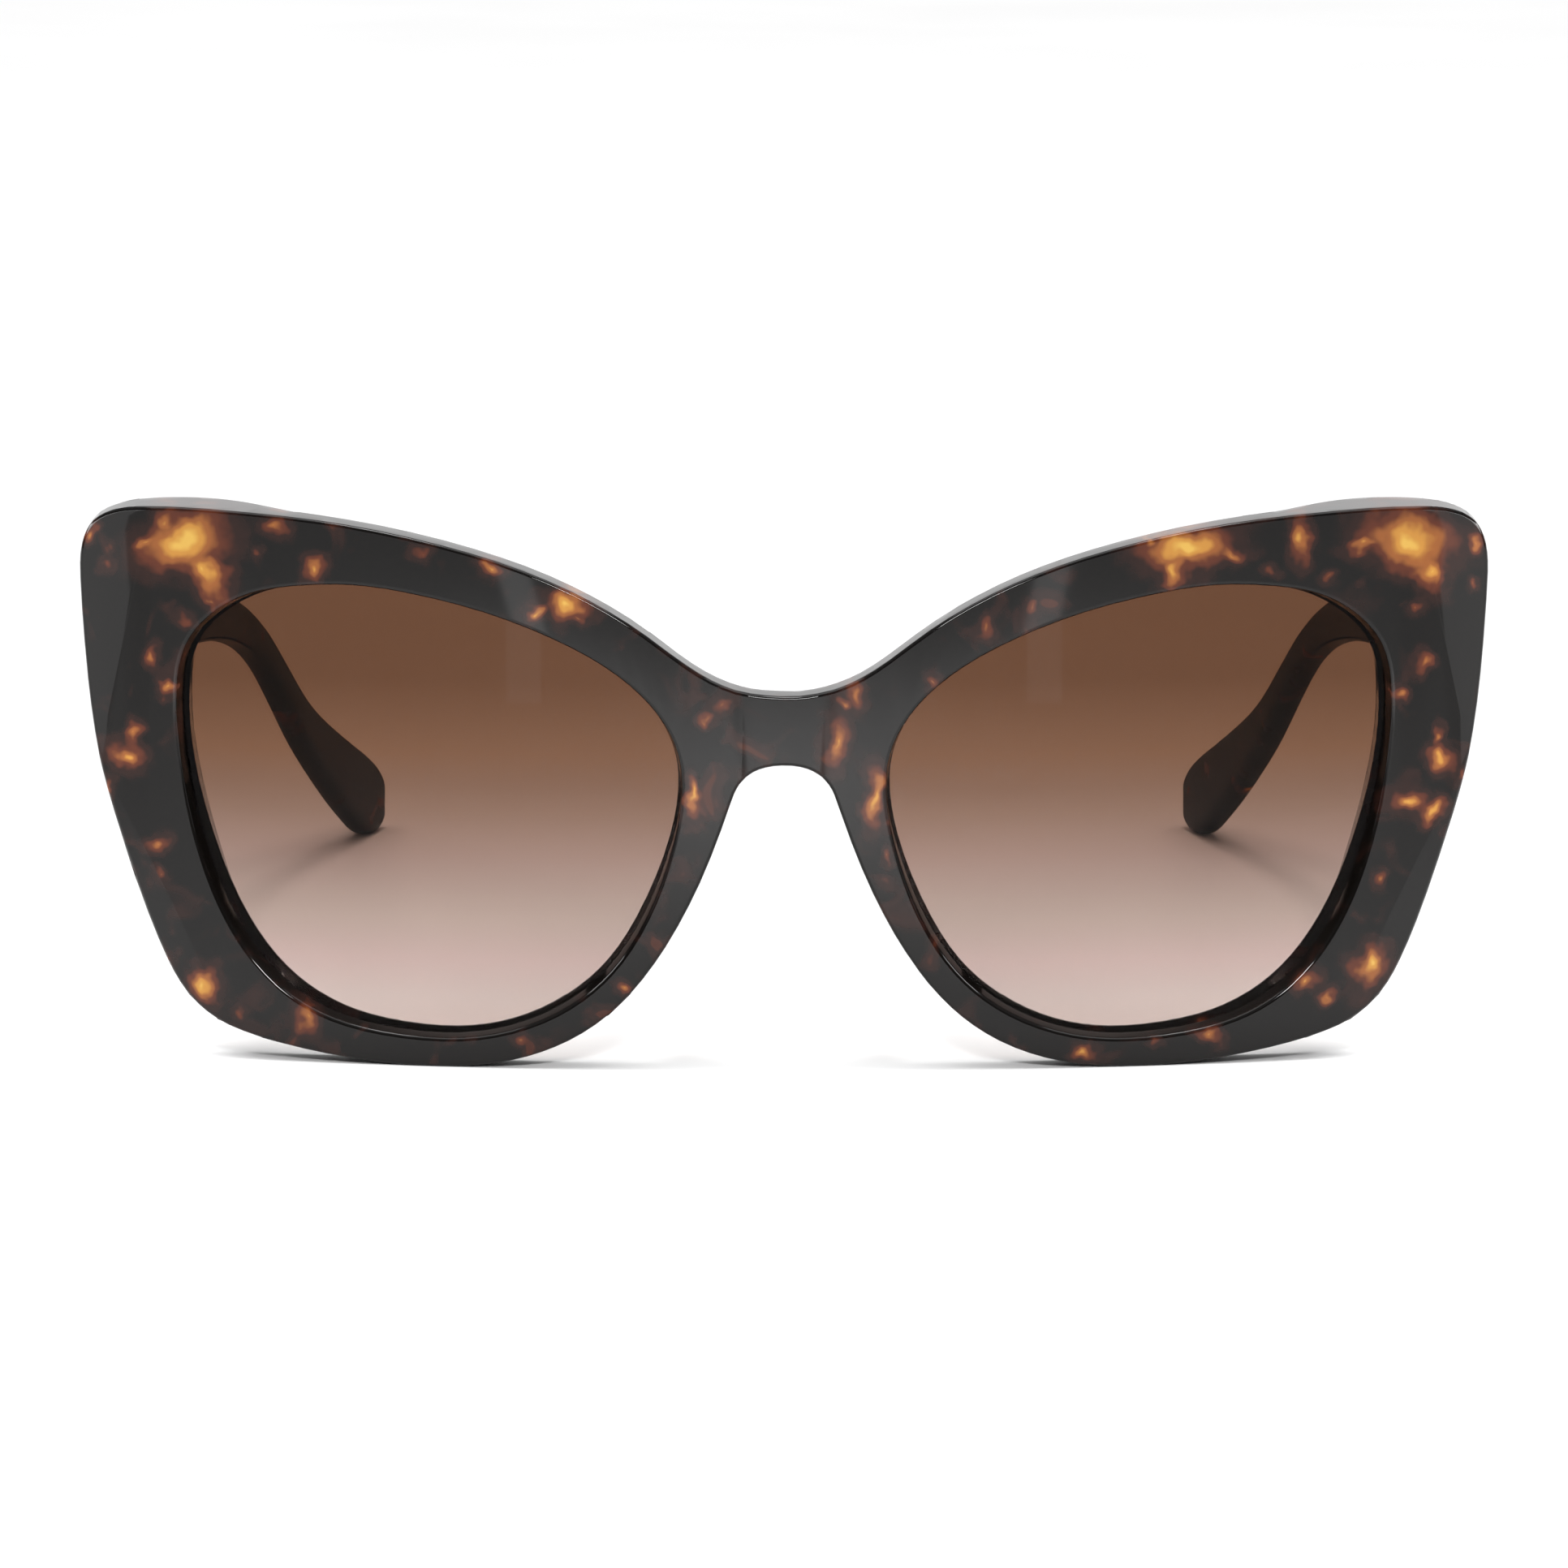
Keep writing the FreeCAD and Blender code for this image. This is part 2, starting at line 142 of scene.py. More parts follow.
# Amber spots in the sheet the front is cut from, in millimetres on the face:
# (across, up, half width, half height, lean in degrees, faintness from 0 to 1).
# 0 is a clear yellow heart and 1 a faint red-brown haze.
AMBER_SPOTS = [
    (-62.5, 54.9, 3.3, 2.0, -20, 0.00), (-60.0, 51.6, 1.4, 2.6, -30, 0.15),
    (-64.6, 57.0, 1.5, 1.6, 20, 0.45), (-66.3, 54.6, 1.5, 0.8, 0, 0.45),
    (-52.8, 56.9, 1.5, 1.3, 0, 0.50), (-48.7, 52.4, 1.2, 1.3, 20, 0.35),
    (-37.5, 53.9, 1.6, 1.2, 0, 0.80), (-54.9, 53.7, 1.2, 1.0, 0, 0.85),
    (-72.8, 55.1, 0.8, 0.9, 0, 0.45), (-70.7, 52.1, 1.2, 1.0, 0, 0.85),
    (-62.6, 46.8, 1.4, 1.0, 0, 0.85), (-65.9, 42.2, 0.9, 1.6, 5, 0.55),
    (-64.6, 38.9, 1.0, 0.8, 0, 0.40), (-68.6, 31.9, 1.5, 1.3, 0, 0.25),
    (-67.8, 34.3, 0.8, 1.4, 10, 0.50), (-70.8, 28.6, 0.8, 1.2, 0, 0.55),
    (-65.7, 22.7, 1.4, 1.1, -35, 0.50), (-65.6, 19.3, 1.0, 0.9, 0, 0.75),
    (-64.8, 10.6, 0.9, 1.2, 0, 0.55), (-60.8, 7.8, 1.4, 1.4, 0, 0.12),
    (-56.8, 5.3, 1.1, 1.0, 0, 0.80), (-50.1, 4.5, 1.2, 1.6, 0, 0.45),
    (-30.4, 52.7, 1.3, 0.9, 0, 0.40), (-22.4, 49.2, 1.7, 1.3, 10, 0.05),
    (-25.6, 48.1, 0.8, 0.8, 0, 0.30), (-21.2, 47.4, 1.0, 0.9, 0, 0.70),
    (-6.6, 38.9, 1.9, 1.3, -25, 0.75), (-8.0, 37.6, 1.0, 0.9, 0, 0.70),
    (-9.6, 29.1, 0.6, 1.8, -5, 0.25), (-16.7, 8.6, 0.9, 0.8, 0, 0.45),
    (-27.8, 3.1, 1.2, 0.9, 0, 0.70), (-59.4, 48.7, 0.8, 1.3, 0, 0.70),
    (5.4, 34.8, 1.3, 2.5, 5, 0.40), (7.3, 39.8, 1.1, 1.8, -10, 0.55),
    (6.1, 38.7, 0.9, 0.8, 0, 0.55), (9.3, 28.7, 0.8, 2.6, 5, 0.22),
    (15.3, 41.3, 1.3, 1.5, 0, 0.70), (20.9, 46.6, 1.0, 1.6, 0, 0.70),
    (25.6, 49.1, 1.1, 1.0, 0, 0.75), (41.7, 54.8, 3.3, 1.6, -5, 0.00),
    (40.4, 52.4, 1.2, 1.5, 15, 0.20), (46.6, 54.4, 1.9, 0.8, 10, 0.45),
    (37.6, 55.6, 1.2, 0.8, 0, 0.50), (53.7, 55.5, 1.0, 2.2, 0, 0.30),
    (65.2, 55.0, 3.3, 2.1, 15, 0.00), (67.4, 51.7, 1.3, 2.1, -25, 0.20),
    (60.6, 54.5, 1.9, 0.9, 0, 0.40), (50.8, 52.1, 1.1, 0.9, 0, 0.80),
    (56.9, 51.4, 1.2, 1.0, 0, 0.75), (72.1, 54.3, 0.8, 1.0, 0, 0.50),
    (72.1, 49.6, 0.8, 1.0, 0, 0.75), (66.1, 47.5, 1.3, 1.0, 0, 0.75),
    (66.7, 41.9, 1.1, 1.5, -5, 0.60), (64.4, 38.9, 1.0, 0.8, 0, 0.50),
    (68.9, 31.6, 1.3, 1.3, 0, 0.28), (68.4, 34.0, 0.7, 1.2, 0, 0.50),
    (65.6, 27.2, 1.4, 1.0, 0, 0.20), (68.2, 26.0, 1.3, 1.0, -20, 0.25),
    (70.9, 29.7, 0.8, 0.9, 0, 0.75), (62.5, 19.2, 1.0, 1.2, 0, 0.60),
    (61.6, 9.8, 1.4, 1.5, 0, 0.05), (55.1, 8.3, 1.2, 1.0, -30, 0.35),
    (57.2, 6.6, 0.8, 0.7, 0, 0.50), (44.6, 2.9, 1.6, 0.8, 20, 0.45),
    (38.4, 2.0, 1.1, 0.7, 0, 0.80), (31.6, 1.5, 1.2, 0.8, -15, 0.30),
    (10.8, 22.8, 0.8, 1.0, 0, 0.75),
]


def linear(colour):
    """An sRGB hex colour as a linear RGBA tuple."""
    values = []
    for k in (1, 3, 5):
        share = int(colour[k:k + 2], 16) / 255.0
        values.append(share / 12.92 if share <= 0.04045 else ((share + 0.055) / 1.055) ** 2.4)
    return (*values, 1.0)


def add_node(tree, kind, inputs=None, **settings):
    """One shader node with its settings, and its inputs as values or as links."""
    node = tree.nodes.new(kind)
    for name, value in settings.items():
        setattr(node, name, value)
    for key, value in (inputs or {}).items():
        if isinstance(value, bpy.types.NodeSocket):
            tree.links.new(value, node.inputs[key])
        else:
            node.inputs[key].default_value = value
    return node


def new_material(name):
    material = bpy.data.materials.new(name)
    material.use_nodes = True
    material.node_tree.nodes.clear()
    return material, material.node_tree


def set_stops(ramp_node, stops):
    """Puts (position, hex colour) stops on a colour ramp."""
    ramp = ramp_node.color_ramp
    ramp.interpolation = "EASE"
    ramp.elements.remove(ramp.elements[1])
    ramp.elements[0].position, ramp.elements[0].color = stops[0][0], linear(stops[0][1])
    for position, colour in stops[1:]:
        ramp.elements.new(position).color = linear(colour)


def millimetres(tree):
    """Object coordinates in millimetres."""
    place = add_node(tree, "ShaderNodeTexCoord").outputs["Object"]
    scaled = add_node(tree, "ShaderNodeVectorMath", {0: place, 1: (1.0 / MM,) * 3},
                      operation="MULTIPLY")
    return scaled.outputs[0]


# ---- finishes ----

def warped(tree, place, size_mm, reach_mm):
    """The place pushed about by a soft noise, so that spots get ragged edges."""
    noise = add_node(tree, "ShaderNodeTexNoise",
                     {"Vector": place, "Scale": 1.0 / size_mm, "Detail": 2.0, "Roughness": 0.5})
    centred = add_node(tree, "ShaderNodeVectorMath",
                       {0: noise.outputs["Color"], 1: (0.5,) * 3}, operation="SUBTRACT")
    push = add_node(tree, "ShaderNodeVectorMath",
                    {0: centred.outputs[0], 1: (2.0 * reach_mm,) * 3, 2: place},
                    operation="MULTIPLY_ADD")
    return push.outputs[0]


def haze(tree, place, size_mm, band, offset):
    """Cloudy streaks through the sheet, as a distance from amber."""
    first, full = band
    cloud = add_node(tree, "ShaderNodeTexNoise",
                     {"Vector": place, "Scale": 1.0 / size_mm, "Detail": 2.0, "Roughness": 0.55,
                      "Distortion": 0.6})
    distance = add_node(tree, "ShaderNodeMapRange",
                        {"Value": cloud.outputs["Fac"], "From Min": first, "From Max": full,
                         "To Min": NO_AMBER, "To Max": offset})
    return distance.outputs["Result"]


def tortoiseshell(name, spots, cloud_offset, heart_offset, mirror, lacquer):
    """Block-cut cellulose acetate, tumbled and buffed: nearly black, with amber spots that
    glow yellow in the middle and fade through orange to a red-brown haze, under a wet gloss."""
    material, tree = new_material(name)
    place = millimetres(tree)
    ragged = warped(tree, place, RAGGED_SIZE, RAGGED_REACH)
    flat = add_node(tree, "ShaderNodeVectorMath", {0: ragged, 1: (1.0, 0.0, 1.0)},
                    operation="MULTIPLY").outputs[0]
    nearest = haze(tree, place, CLOUD_SIZE, CLOUD_BAND, cloud_offset)
    hearts = haze(tree, ragged, HEART_SIZE, HEART_BAND, heart_offset)
    nearest = add_node(tree, "ShaderNodeMath", {0: nearest, 1: hearts, 2: HEART_BLEND},
                       operation="SMOOTH_MIN").outputs[0]
    for across, up, half_width, half_height, lean, faintness in spots:
        size = (SPOT_SPREAD * half_width, 1.0, SPOT_SPREAD * half_height)
        local = add_node(tree, "ShaderNodeMapping",
                         {"Vector": flat, "Location": (across, 0.0, up),
                          "Rotation": (0.0, math.radians(lean), 0.0), "Scale": size},
                         vector_type="TEXTURE")
        length = add_node(tree, "ShaderNodeVectorMath", {0: local.outputs[0]},
                          operation="LENGTH").outputs["Value"]
        faded = add_node(tree, "ShaderNodeMath", {0: length, 1: SPOT_FADE * faintness},
                         operation="ADD").outputs[0]
        nearest = add_node(tree, "ShaderNodeMath", {0: nearest, 1: faded, 2: SPOT_BLEND},
                           operation="SMOOTH_MIN").outputs[0]
    share = add_node(tree, "ShaderNodeMath", {0: nearest, 1: NO_AMBER},
                     operation="DIVIDE").outputs[0]
    colour = add_node(tree, "ShaderNodeValToRGB", {"Fac": share})
    set_stops(colour, [(0.04, "#c9a04c"), (0.18, "#b57f38"), (0.32, "#8a5229"),
                       (0.47, "#54291a"), (0.64, "#261511"), (0.92, "#0c0a09")])
    shader = add_node(tree, "ShaderNodeBsdfPrincipled",
                      {"Base Color": colour.outputs["Color"],
                       "Roughness": ACETATE_ROUGHNESS, "IOR": ACETATE_IOR,
                       "Specular IOR Level": mirror, "Coat Weight": lacquer,
                       "Coat Roughness": ACETATE_ROUGHNESS, "Coat IOR": ACETATE_IOR})
    add_node(tree, "ShaderNodeOutputMaterial", {"Surface": shader.outputs[0]})
    return material


def tinted_lens(name, low_z, high_z):
    """Dip-dyed optical plastic: dark brown at the brow, fading to a pale rose brown below.
    Its coating takes most of the glare off, so it mirrors less than bare plastic."""
    material, tree = new_material(name)
    place = add_node(tree, "ShaderNodeTexCoord").outputs["Object"]
    up = add_node(tree, "ShaderNodeSeparateXYZ", {0: place}).outputs["Z"]
    height = add_node(tree, "ShaderNodeMapRange",
                      {"Value": up, "From Min": low_z, "From Max": high_z}).outputs["Result"]
    tint = add_node(tree, "ShaderNodeValToRGB", {"Fac": height})
    set_stops(tint, [(0.09, "#bbaca6"), (0.17, "#bba59f"), (0.26, "#b09c92"), (0.40, "#9a7f74"),
                     (0.49, "#896c5d"), (0.55, "#7f604f"), (0.62, "#7a5742"), (0.78, "#674632")])
    tint.color_ramp.interpolation = "LINEAR"
    shader = add_node(tree, "ShaderNodeBsdfPrincipled",
                      {"Base Color": tint.outputs["Color"], "Roughness": 0.0, "IOR": LENS_IOR,
                       "Transmission Weight": 1.0})
    # A ray from a lamp passes two surfaces, so each lets through the tint's square root.
    per_surface = add_node(tree, "ShaderNodeGamma", {"Color": tint.outputs["Color"],
                                                     "Gamma": 0.5})
    clear = add_node(tree, "ShaderNodeBsdfTransparent", {"Color": per_surface.outputs[0]})
    ray = add_node(tree, "ShaderNodeLightPath")
    mix = add_node(tree, "ShaderNodeMixShader",
                   {0: ray.outputs["Is Shadow Ray"], 1: shader.outputs[0], 2: clear.outputs[0]})
    add_node(tree, "ShaderNodeOutputMaterial", {"Surface": mix.outputs[0]})
    return material


def metal(name, colour, roughness, grain_mm):
    """Tumbled, turned or rolled metal: even colour, with a grain that breaks up the shine."""
    material, tree = new_material(name)
    place = millimetres(tree)
    grain = add_node(tree, "ShaderNodeTexNoise",
                     {"Vector": place, "Scale": 1.0 / grain_mm, "Detail": 3.0})
    rough = add_node(tree, "ShaderNodeMapRange",
                     {"Value": grain.outputs["Fac"], "To Min": roughness * (1 - GRAIN_SPREAD),
                      "To Max": roughness * (1 + GRAIN_SPREAD)})
    bump = add_node(tree, "ShaderNodeBump",
                    {"Height": grain.outputs["Fac"], "Strength": GRAIN_BUMP,
                     "Distance": GRAIN_DEPTH})
    shader = add_node(tree, "ShaderNodeBsdfPrincipled",
                      {"Base Color": linear(colour), "Metallic": 1.0,
                       "Roughness": rough.outputs["Result"], "Normal": bump.outputs["Normal"]})
    add_node(tree, "ShaderNodeOutputMaterial", {"Surface": shader.outputs[0]})
    return material


def nylon(name):
    """Natural moulded nylon: milky, slightly waxy."""
    material, tree = new_material(name)
    cloud = add_node(tree, "ShaderNodeTexNoise",
                     {"Vector": millimetres(tree), "Scale": 1.0 / NYLON_CLOUD_MM})
    colour = add_node(tree, "ShaderNodeValToRGB", {"Fac": cloud.outputs["Fac"]})
    set_stops(colour, [(0.3, "#ddd8cb"), (0.7, "#ece8dd")])
    shader = add_node(tree, "ShaderNodeBsdfPrincipled",
                      {"Base Color": colour.outputs["Color"], "Roughness": 0.42, "IOR": 1.53})
    add_node(tree, "ShaderNodeOutputMaterial", {"Surface": shader.outputs[0]})
    return material


def studio_paper(name):
    """Matt white floor, with a hardly visible unevenness."""
    material, tree = new_material(name)
    cloud = add_node(tree, "ShaderNodeTexNoise",
                     {"Vector": millimetres(tree), "Scale": 1.0 / PAPER_CLOUD_MM})
    colour = add_node(tree, "ShaderNodeValToRGB", {"Fac": cloud.outputs["Fac"]})
    set_stops(colour, [(0.3, "#f4f4f4"), (0.7, "#f7f7f7")])
    shader = add_node(tree, "ShaderNodeBsdfPrincipled",
                      {"Base Color": colour.outputs["Color"], "Roughness": 0.9,
                       "Specular IOR Level": 0.0})
    add_node(tree, "ShaderNodeOutputMaterial", {"Surface": shader.outputs[0]})
    return material


# ---- pieces ----

def merged(node):
    """A node's triangles, joined into one closed skin."""
    skin = bmesh.new()
    skin.from_mesh(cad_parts[node].data)
    bmesh.ops.remove_doubles(skin, verts=skin.verts, dist=WELD)
    bmesh.ops.dissolve_degenerate(skin, edges=skin.edges, dist=TINY_EDGE)
    return skin


def neighbour_tree(nodes):
    """Search tree over the surfaces of the pieces that are fitted into this one."""
    joined = bmesh.new()
    for node in nodes:
        joined.from_mesh(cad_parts[node].data)
    tree = BVHTree.FromBMesh(joined)
    joined.free()
    return tree


def polished(node, body, material, edge_round, fitted=()):
    """A node's own shape with its sharp outer edges buffed round. The ridges between the
    cuts on its face stay crisp."""
    skin = merged(node)
    for edge in skin.edges:
        on_face = max(face.normal.y for face in edge.link_faces) < ON_FACE
        if on_face and RIDGE_EDGE < edge.calc_face_angle() < SHARP_EDGE:
            edge.smooth = False
    bmesh.ops.dissolve_limit(skin, angle_limit=LEVEL, verts=skin.verts[:],
                             edges=skin.edges[:], delimit={"SHARP"})
    fitted_tree = neighbour_tree(fitted) if fitted else None
    sharp = []
    for edge in skin.edges:
        if not edge.is_manifold or edge.calc_face_angle() < SHARP_EDGE:
            continue
        touching = False
        if fitted_tree:
            near = [fitted_tree.find_nearest(vert.co)[3] for vert in edge.verts]
            touching = max(near) < TOUCHING
        if not touching:
            sharp.append(edge)
    bmesh.ops.bevel(skin, geom=sharp, offset=edge_round, offset_type="OFFSET",
                    segments=ROUND_SEGMENTS, profile=0.5, affect="EDGES", clamp_overlap=False,
                    material=-1, loop_slide=False)
    piece = finished(skin, node + "_polished", material)
    even = piece.modifiers.new("even_shading", "WEIGHTED_NORMAL")
    even.keep_sharp = True
    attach(piece, body)
    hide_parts(node)


def ground_lens(side, material):
    """A lens whose faces shade as one even curve, so nothing seen through it wavers."""
    node = "lens_" + side
    piece = finished(merged(node), node + "_ground", material)
    axis = Vector((0.0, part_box("front_frame")[0].y + FACE_RADIUS, 0.0))
    mesh = piece.data
    normals = [corner.vector.copy() for corner in mesh.corner_normals]
    for face in mesh.polygons:
        for loop in face.loop_indices:
            out = mesh.vertices[mesh.loops[loop].vertex_index].co - axis
            out.z = 0.0
            out.normalize()
            facing = out.dot(face.normal)
            if abs(facing) > LENS_FACING:
                normals[loop] = out * math.copysign(1.0, facing)
    mesh.normals_split_custom_set(normals)
    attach(piece, "front")
    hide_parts(node)


def dense_line(points):
    """A smooth line through the points, closely spaced, each with its running length."""
    ends = [2 * points[0] - points[1]] + points + [2 * points[-1] - points[-2]]
    line = []
    for p0, p1, p2, p3 in zip(ends, ends[1:], ends[2:], ends[3:]):
        for k in range(LINE_STEPS):
            t = k / LINE_STEPS
            line.append(0.5 * (2 * p1 + (p2 - p0) * t + (2 * p0 - 5 * p1 + 4 * p2 - p3) * t ** 2
                               + (3 * p1 - p0 - 3 * p2 + p3) * t ** 3))
    line.append(points[-1])
    lengths = [0.0]
    for a, b in zip(line, line[1:]):
        lengths.append(lengths[-1] + (b - a).length)
    return line, lengths


def station_on(line, lengths, distance):
    """The point of a dense line at a running length, and the direction there."""
    k = 1
    while k < len(lengths) - 1 and lengths[k] < distance:
        k += 1
    share = (distance - lengths[k - 1]) / (lengths[k] - lengths[k - 1])
    ahead, behind = line[min(k + 1, len(line) - 1)], line[max(k - 2, 0)]
    return line[k - 1].lerp(line[k], share), (ahead - behind).normalized()


def evened(values):
    """Running average that takes the facets out of measured values."""
    for _ in range(EVENING_PASSES):
        middle = [(a + 2 * b + c) / 4 for a, b, c in zip(values, values[1:], values[2:])]
        values = [values[0]] + middle + [values[-1]]
    return values


def rounded_section(skin, centre, up_axis, half_width, half_height):
    """One ring of an arm: a rectangle with rounded corners, square to the arm."""
    corner = min(ARM_CORNER, CORNER_SHARE * half_width, CORNER_SHARE * half_height)
    count = 4 * (ARM_CORNER_STEPS + 1)
    ring = bmesh.ops.create_circle(skin, segments=count, radius=1.0)["verts"]
    for k, vert in enumerate(ring):
        quarter, step = divmod(k, ARM_CORNER_STEPS + 1)
        sx, sz = ((1, 1), (-1, 1), (-1, -1), (1, -1))[quarter]
        angle = math.pi / 2 * (quarter + step / ARM_CORNER_STEPS)
        across = sx * (half_width - corner) + corner * math.cos(angle)
        along = sz * (half_height - corner) + corner * math.sin(angle)
        vert.co = centre + Vector((across, 0, 0)) + up_axis * along
    return list({edge for vert in ring for edge in vert.link_edges})


def acetate_arm(side, material):
    """An arm as a run of rounded sections measured off its node, from butt to tip."""
    node = "temple_" + side
    butt_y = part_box(node)[0].y
    tree = neighbour_tree([node])
    sign = -1 if side == "left" else 1
    middle = [Vector((0.0, butt_y + back * MM, up * MM)) for back, up in ARM_MIDDLE]
    line, lengths = dense_line(middle)
    whole = lengths[-1]
    count = round((whole - ARM_TIP[0] * MM) / ARM_STATION)
    places = [whole - ARM_TIP[0] * MM - ARM_STATION * (count - k) for k in range(count)]
    places[0] = ARM_FIRST
    places += [whole - rest * MM for rest in ARM_TIP]

    rows = []
    for place in places:
        centre, along = station_on(line, lengths, place)
        up_axis = Vector((0.0, -along.z, along.y))
        across = Vector((sign, 0.0, 0.0))
        outer = tree.ray_cast(centre + across * OUTSIDE_ARM, -across)[0].x
        inner = tree.ray_cast(centre, across)[0].x
        heart = Vector(((outer + inner) / 2, centre.y, centre.z))
        top = tree.ray_cast(heart + up_axis * ABOVE_ARM, -up_axis)[0]
        bottom = tree.ray_cast(heart - up_axis * ABOVE_ARM, up_axis)[0]
        rows.append((abs(outer - inner) / 2, heart.x, (top - heart).dot(up_axis),
                     (heart - bottom).dot(up_axis)))
    half_widths, mids, tops, bottoms = [
        evened(list(column[:count])) + list(column[count:]) for column in zip(*rows)]

    skin = bmesh.new()
    rings = []
    for k, place in enumerate(places):
        centre, along = station_on(line, lengths, place)
        up_axis = Vector((0.0, -along.z, along.y))
        half_height = (tops[k] + bottoms[k]) / 2
        centre = Vector((mids[k], centre.y, centre.z)) + up_axis * (tops[k] - bottoms[k]) / 2
        rest = whole - place
        half_width = half_widths[k]
        if rest < ARM_CORNER:
            half_width -= ARM_CORNER - math.sqrt(ARM_CORNER ** 2 - (ARM_CORNER - rest) ** 2)
        if k == 0:
            centre.y = butt_y
            for taken_off, set_back in BUTT_RINGS:
                inset = taken_off * BUTT_EDGE_ROUND
                moved = centre + Vector((0.0, set_back * BUTT_EDGE_ROUND, 0.0))
                rings.append(rounded_section(skin, moved, Vector((0.0, 0.0, 1.0)),
                                             half_width - inset, half_height - inset))
        else:
            rings.append(rounded_section(skin, centre, up_axis, half_width, half_height))
    for ring, following in zip(rings, rings[1:]):
        bmesh.ops.bridge_loops(skin, edges=ring + following)
    bmesh.ops.holes_fill(skin, edges=rings[0] + rings[-1])
    bmesh.ops.recalc_face_normals(skin, faces=skin.faces)
    return finished(skin, node + "_acetate", material)


def finished(skin, name, material):
    """A skin as an object with smooth shading and its material."""
    for edge in skin.edges:
        if edge.is_manifold and edge.calc_face_angle() > SMOOTH_LIMIT:
            edge.smooth = False
    for face in skin.faces:
        face.smooth = True
    mesh = bpy.data.meshes.new(name)
    skin.to_mesh(mesh)
    skin.free()
    mesh.materials.append(material)
    piece = bpy.data.objects.new(name, mesh)
    bpy.context.scene.collection.objects.link(piece)
    return piece


def build_glasses():
    lens_low, lens_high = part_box("lens_left")
    shell = tortoiseshell("tortoiseshell_acetate_front", AMBER_SPOTS, cloud_offset=0.90,
                          heart_offset=1.2, mirror=0.26, lacquer=0.0)
    arm_shell = tortoiseshell("tortoiseshell_acetate_arms", [], cloud_offset=0.70,
                              heart_offset=0.15, mirror=0.0, lacquer=0.25)
    lens = tinted_lens("dip_dyed_lens_plastic", lens_low.z, lens_high.z)
    leaf_metal = metal("tumbled_nickel_silver", "#c9c2b2", roughness=0.28, grain_mm=0.25)
    screw_metal = metal("turned_stainless_steel", "#cfcfcd", roughness=0.20, grain_mm=0.15)
    strip_metal = metal("rolled_nickel_silver_strip", "#bfb8a8", roughness=0.35, grain_mm=0.30)
    bush = nylon("natural_nylon")

    fitted = ["lens_left", "lens_right", "front_hinge_leaf_left", "front_hinge_leaf_right"]
    polished("front_frame", "front", shell, FRONT_EDGE_ROUND, fitted)
    for side in SIDES:
        arm = acetate_arm(side, arm_shell)
        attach(arm, side + "_temple")
        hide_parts("temple_" + side)
        polished("nose_pad_" + side, "front", shell, BUTT_EDGE_ROUND,
                 ["front_frame"])
        ground_lens(side, lens)
        polished("front_hinge_leaf_" + side, "front", leaf_metal,
                 METAL_EDGE_ROUND, ["front_frame"])
        polished("temple_hinge_leaf_" + side, side + "_temple", leaf_metal,
                 METAL_EDGE_ROUND, ["temple_" + side])
        polished("hinge_screw_" + side, "front", screw_metal, METAL_EDGE_ROUND)
        plain_pieces = (("screw_lock_" + side, bush), ("temple_core_" + side, strip_metal))
        for node, material in plain_pieces:
            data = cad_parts[node].data
            data.materials.clear()
            data.materials.append(material)


# ---- studio ----

def panel_light(name, place, target, size, power):
    """A soft panel that shines towards a target and is not seen itself."""
    lamp = bpy.data.lights.new(name, "AREA")
    lamp.shape = "RECTANGLE"
    lamp.size, lamp.size_y = size
    lamp.energy = power
    holder = bpy.data.objects.new(name, lamp)
    holder.location = place
    holder.rotation_euler = (Vector(target) - Vector(place)).to_track_quat("-Z", "Y").to_euler()
    holder.visible_camera = False
    bpy.context.scene.collection.objects.link(holder)


def glow(tree, way, stretch):
    """Strength of the room's light, growing over a stretch of one way."""
    start, full, weakest, strongest = stretch
    return add_node(tree, "ShaderNodeMapRange",
                    {"Value": way, "From Min": start, "From Max": full,
                     "To Min": weakest, "To Max": strongest},
                    interpolation_type="SMOOTHSTEP").outputs["Result"]


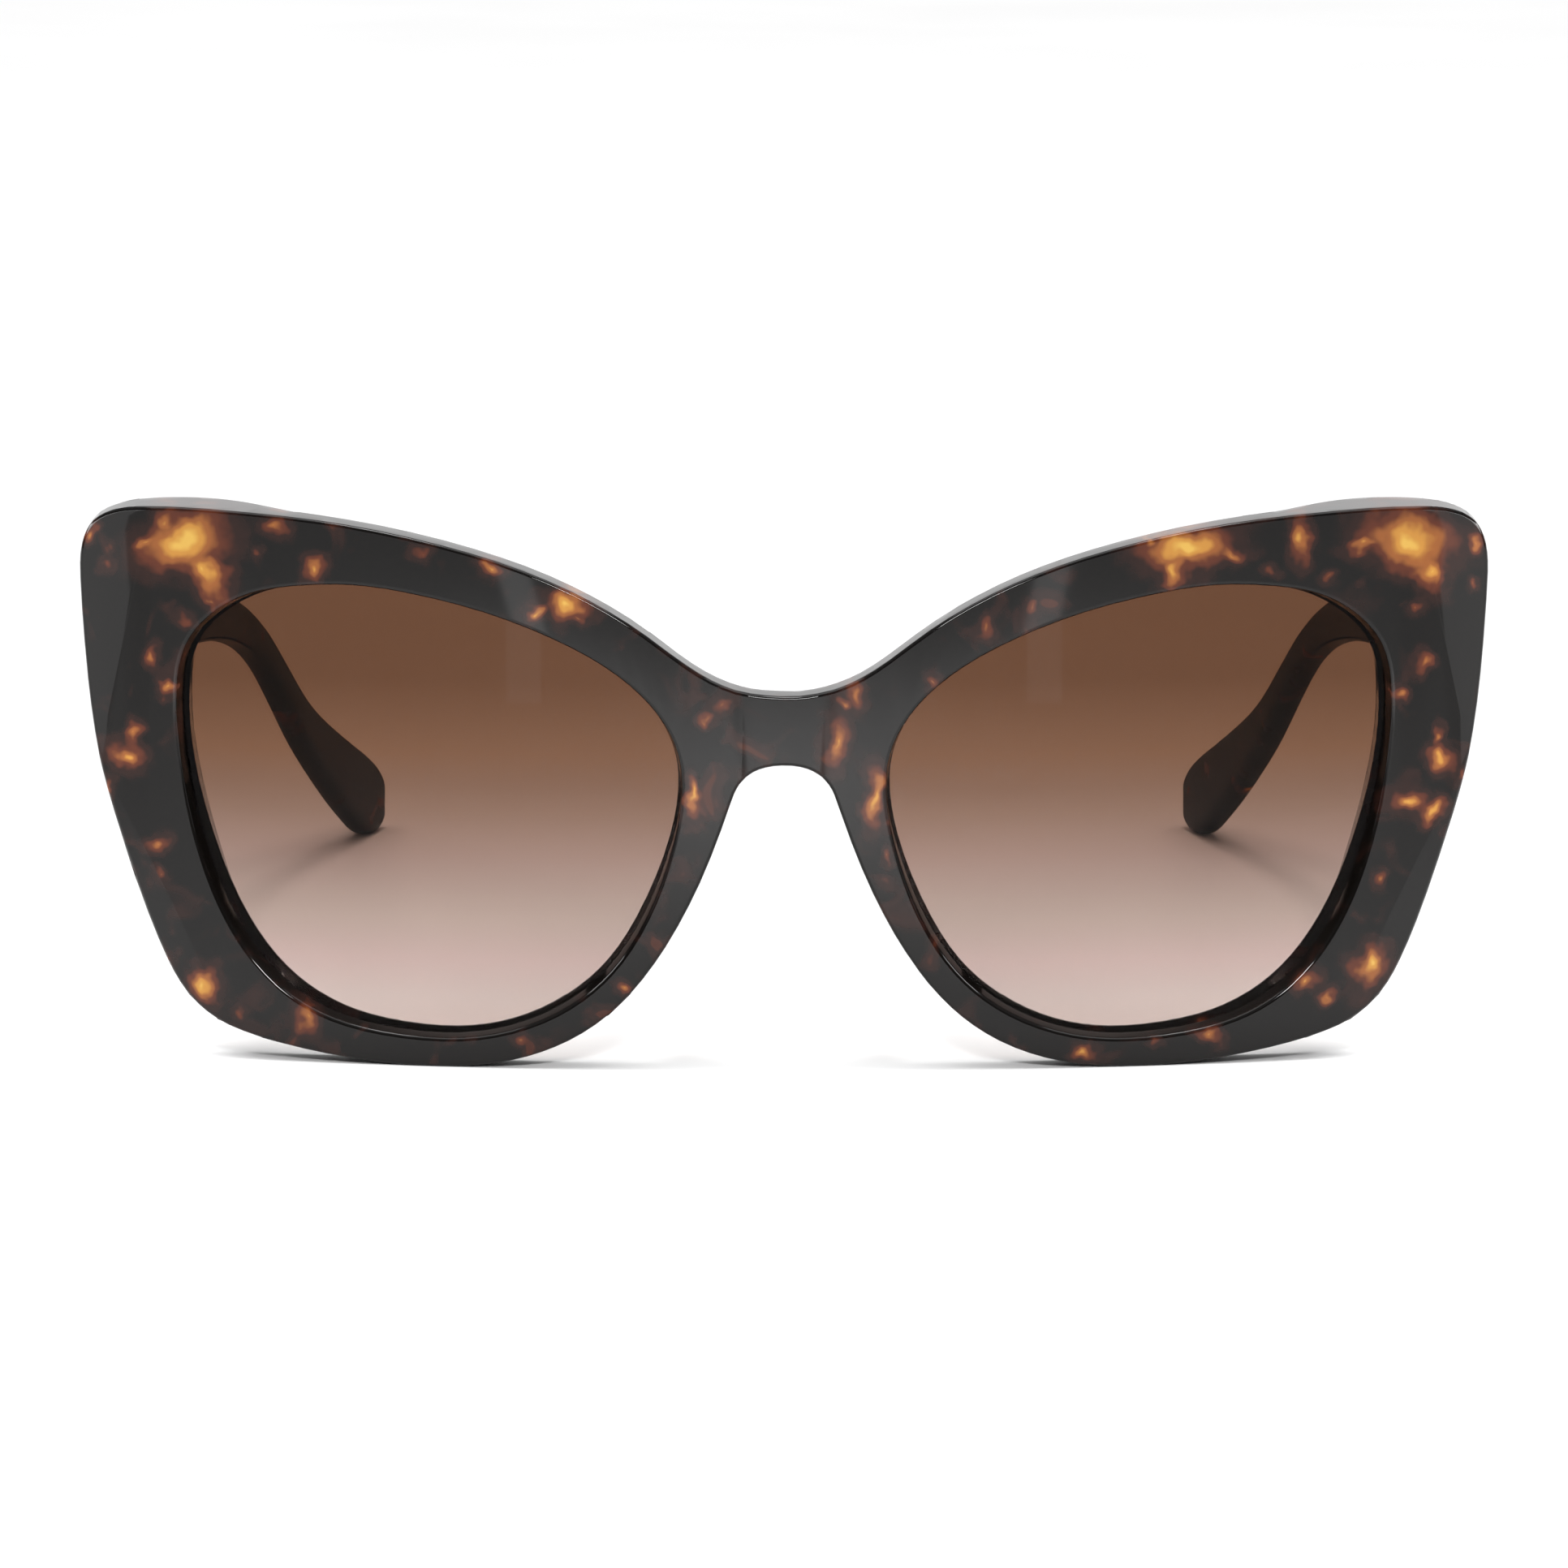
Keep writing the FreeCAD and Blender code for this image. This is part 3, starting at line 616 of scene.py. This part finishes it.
def build_room():
    """A white ceiling and a white backdrop behind the glasses, and hardly any light from
    the front and from below."""
    world = bpy.data.worlds.new("soft_white_room")
    world.use_nodes = True
    tree = world.node_tree
    tree.nodes.clear()
    direction = add_node(tree, "ShaderNodeTexCoord").outputs["Generated"]
    parts = add_node(tree, "ShaderNodeSeparateXYZ", {0: direction})
    ceiling = glow(tree, parts.outputs["Z"], CEILING_GLOW)
    backdrop = glow(tree, parts.outputs["Y"], BACKDROP_GLOW)
    strength = add_node(tree, "ShaderNodeMath", {0: ceiling, 1: backdrop},
                        operation="MAXIMUM")
    light = add_node(tree, "ShaderNodeBackground",
                     {"Color": (1.0, 1.0, 1.0, 1.0), "Strength": strength.outputs[0]})
    add_node(tree, "ShaderNodeOutputWorld", {"Surface": light.outputs[0]})
    bpy.context.scene.world = world


def build_floor():
    sheet = bmesh.new()
    bmesh.ops.create_grid(sheet, x_segments=1, y_segments=1, size=FLOOR_HALF_WIDTH)
    mesh = bpy.data.meshes.new("floor")
    sheet.to_mesh(mesh)
    sheet.free()
    floor = bpy.data.objects.new("floor", mesh)
    floor.data.materials.append(studio_paper("white_studio_paper"))
    bpy.context.scene.collection.objects.link(floor)


def build_lights(face_y):
    key = bpy.data.lights.new("overhead_lamp", "SUN")
    key.angle = SUN_ANGLE
    key.energy = SUN_STRENGTH
    holder = bpy.data.objects.new("overhead_lamp", key)
    bpy.context.scene.collection.objects.link(holder)
    panel_light(*SOFTBOX)

    def from_face(point, sign=1):
        return sign * point[0], face_y + point[1], point[2]

    name, place, target, size, power = FRONT_GLOW
    panel_light(name, from_face(place), from_face(target), size, power)
    for sign in (-1, 1):
        for name, place, target, size, power in SIDE_PANELS:
            panel_light(name, from_face(place, sign), from_face(target, sign), size, power)


def build_camera(face_y):
    aim = Vector((0.0, face_y + AIM_BEHIND_FACE, AIM_HEIGHT))
    back = Vector((0.0, -math.cos(CAMERA_ELEVATION), math.sin(CAMERA_ELEVATION)))
    lens = bpy.data.cameras.new("camera")
    lens.lens = CAMERA_FOCAL_MM
    lens.sensor_width = CAMERA_SENSOR_MM
    camera = bpy.data.objects.new("camera", lens)
    camera.location = aim + back * CAMERA_DISTANCE
    camera.rotation_euler = (math.pi / 2 - CAMERA_ELEVATION, 0.0, 0.0)
    bpy.context.scene.collection.objects.link(camera)
    bpy.context.scene.camera = camera
    bpy.context.scene.view_settings.view_transform = "Standard"


face_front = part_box("front_frame")[0].y
build_glasses()
build_floor()
build_room()
build_lights(face_front)
build_camera(face_front)
